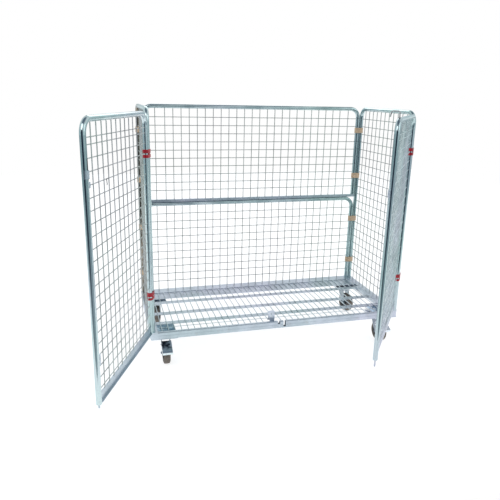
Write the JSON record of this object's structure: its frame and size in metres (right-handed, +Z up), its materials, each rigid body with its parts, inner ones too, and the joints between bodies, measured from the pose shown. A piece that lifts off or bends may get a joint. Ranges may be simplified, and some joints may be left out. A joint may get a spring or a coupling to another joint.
{
  "type": "roll cage container",
  "caption": "Mesh-sided roll cage on swivel castors: tube and wire panels round a wire deck, with two swinging mesh doors and braked front castors.",
  "frame": {"origin": "on the floor, under the middle of the whole object with its doors open as stored", "axes": "+X along the long side, -Y towards the doors, +Z up"},
  "size_m": [1.782, 1.3344, 1.4125],
  "materials": {
    "zinc_tube": "bright zinc plate",
    "zinc_wire": "bright zinc plate on drawn wire",
    "zinc_sheet": "bright zinc plate on rolled sheet",
    "castor_steel": "zinc plated pressing",
    "pedal_steel": "bright plated",
    "screw_steel": "plated",
    "red_clip": "moulded, satin",
    "tan_clip": "moulded, satin",
    "dark_plastic": "moulded",
    "tyre_rubber": "matt rubber",
    "wheel_plastic": "moulded"
  },
  "bodies": {
    "cage": {"base_corner_sockets": "zinc_sheet", "base_front_rail": "zinc_sheet", "base_rear_rail": "zinc_sheet", "base_left_rail": "zinc_sheet", "base_right_rail": "zinc_sheet", "castor_pads": "zinc_sheet", "corner_gussets": "zinc_sheet", "deck_strips": "zinc_sheet", "deck_rear_shelf": "zinc_sheet", "deck_grid": "zinc_wire", "front_keeper": "zinc_sheet", "left_side_frame": "zinc_tube", "left_side_mesh": "zinc_wire", "right_side_frame": "zinc_tube", "right_side_mesh": "zinc_wire", "rear_upper_frame": "zinc_tube", "rear_upper_mesh": "zinc_wire", "rear_upper_bar": "zinc_sheet", "rear_lower_frame": "zinc_tube", "rear_lower_mesh": "zinc_wire", "panel_clips": "tan_clip", "castor_plates": "castor_steel", "castor_kingpins": "castor_steel", "castor_bolts_and_nuts": "castor_steel"},
    "left_clips": {"left_hinge_clips": "red_clip", "left_hinge_screws": "screw_steel"},
    "left_door": {"left_door_frame": "zinc_tube", "left_door_mesh": "zinc_wire", "left_door_bottom_rail": "zinc_sheet", "left_rod_bush": "dark_plastic", "left_latch_plates": "zinc_sheet", "left_door_paper_hook": "zinc_wire"},
    "left_rod": {"left_lock_rod": "zinc_sheet"},
    "right_clips": {"right_hinge_clips": "red_clip", "right_hinge_screws": "screw_steel"},
    "right_door": {"right_door_frame": "zinc_tube", "right_door_mesh": "zinc_wire", "right_door_bottom_rail": "zinc_sheet", "right_rod_bush": "dark_plastic", "right_latch_plates": "zinc_sheet"},
    "right_rod": {"right_lock_rod": "zinc_sheet"},
    "right_top_hook": {"right_door_top_hook": "zinc_wire"},
    "front_left_castor": {"front_left_fork": "castor_steel", "front_left_axle": "castor_steel"},
    "front_left_wheel": {"front_left_tyre": "tyre_rubber", "front_left_wheel_core": "wheel_plastic"},
    "front_left_pedal": {"front_left_brake_pedal": "pedal_steel"},
    "front_right_castor": {"front_right_fork": "castor_steel", "front_right_axle": "castor_steel"},
    "front_right_wheel": {"front_right_tyre": "tyre_rubber", "front_right_wheel_core": "wheel_plastic"},
    "front_right_pedal": {"front_right_brake_pedal": "pedal_steel"},
    "rear_left_castor": {"rear_left_fork": "castor_steel", "rear_left_axle": "castor_steel"},
    "rear_left_wheel": {"rear_left_tyre": "tyre_rubber", "rear_left_wheel_core": "wheel_plastic"},
    "rear_right_castor": {"rear_right_fork": "castor_steel", "rear_right_axle": "castor_steel"},
    "rear_right_wheel": {"rear_right_tyre": "tyre_rubber", "rear_right_wheel_core": "wheel_plastic"}
  },
  "joints": [
    {"name": "left_clip_swing", "type": "hinge", "parent": "cage", "child": "left_clips", "pos_m": [-0.59548, 0.00911, 0.425], "axis": [0, 0, -1], "range_deg": [-113.2, 66.8]},
    {"name": "left_door_swing", "type": "hinge", "parent": "left_clips", "child": "left_door", "pos_m": [-0.60631, -0.01616, 0.425], "axis": [0, 0, 1], "range_deg": [-90, 45]},
    {"name": "left_rod_lift", "type": "slide", "parent": "left_door", "child": "left_rod", "axis": [0, 0, 1], "range_m": [0, 0.04]},
    {"name": "right_clip_swing", "type": "hinge", "parent": "cage", "child": "right_clips", "pos_m": [0.87552, 0.00911, 0.425], "axis": [0, 0, 1], "range_deg": [-52.5, 127.5]},
    {"name": "right_door_swing", "type": "hinge", "parent": "right_clips", "child": "right_door", "pos_m": [0.85878, -0.0127, 0.425], "axis": [0, 0, -1], "range_deg": [-90, 45]},
    {"name": "right_rod_lift", "type": "slide", "parent": "right_door", "child": "right_rod", "axis": [0, 0, 1], "range_m": [0, 0.04]},
    {"name": "right_hook_turn", "type": "hinge", "parent": "right_door", "child": "right_top_hook", "pos_m": [0.46309, -0.52838, 1.4], "axis": [0, 0, 1], "range_deg": [-90, 90]},
    {"name": "front_left_swivel", "type": "hinge", "parent": "cage", "child": "front_left_castor", "pos_m": [-0.52098, 0.08111, 0.15], "axis": [0, 0, 1], "continuous": true},
    {"name": "front_left_roll", "type": "hinge", "parent": "front_left_castor", "child": "front_left_wheel", "pos_m": [-0.52098, 0.04311, 0.0625], "axis": [1, 0, 0], "continuous": true},
    {"name": "front_left_brake", "type": "hinge", "parent": "front_left_castor", "child": "front_left_pedal", "pos_m": [-0.52098, 0.04711, 0.11], "axis": [1, 0, 0], "range_deg": [0, 8]},
    {"name": "front_right_swivel", "type": "hinge", "parent": "cage", "child": "front_right_castor", "pos_m": [0.80102, 0.08111, 0.15], "axis": [0, 0, 1], "continuous": true},
    {"name": "front_right_roll", "type": "hinge", "parent": "front_right_castor", "child": "front_right_wheel", "pos_m": [0.80367, 0.04321, 0.0625], "axis": [0.9976, 0.0698, 0], "continuous": true},
    {"name": "front_right_brake", "type": "hinge", "parent": "front_right_castor", "child": "front_right_pedal", "pos_m": [0.80339, 0.0472, 0.11], "axis": [0.9976, 0.0698, 0], "range_deg": [0, 8]},
    {"name": "rear_left_swivel", "type": "hinge", "parent": "cage", "child": "rear_left_castor", "pos_m": [-0.52098, 0.56711, 0.15], "axis": [0, 0, 1], "continuous": true},
    {"name": "rear_left_roll", "type": "hinge", "parent": "rear_left_castor", "child": "rear_left_wheel", "pos_m": [-0.51308, 0.60428, 0.0625], "axis": [-0.9781, 0.2079, 0], "continuous": true},
    {"name": "rear_right_swivel", "type": "hinge", "parent": "cage", "child": "rear_right_castor", "pos_m": [0.80102, 0.56711, 0.15], "axis": [0, 0, 1], "continuous": true},
    {"name": "rear_right_roll", "type": "hinge", "parent": "rear_right_castor", "child": "rear_right_wheel", "pos_m": [0.80892, 0.52994, 0.0625], "axis": [0.9781, 0.2079, 0], "continuous": true}
  ]
}
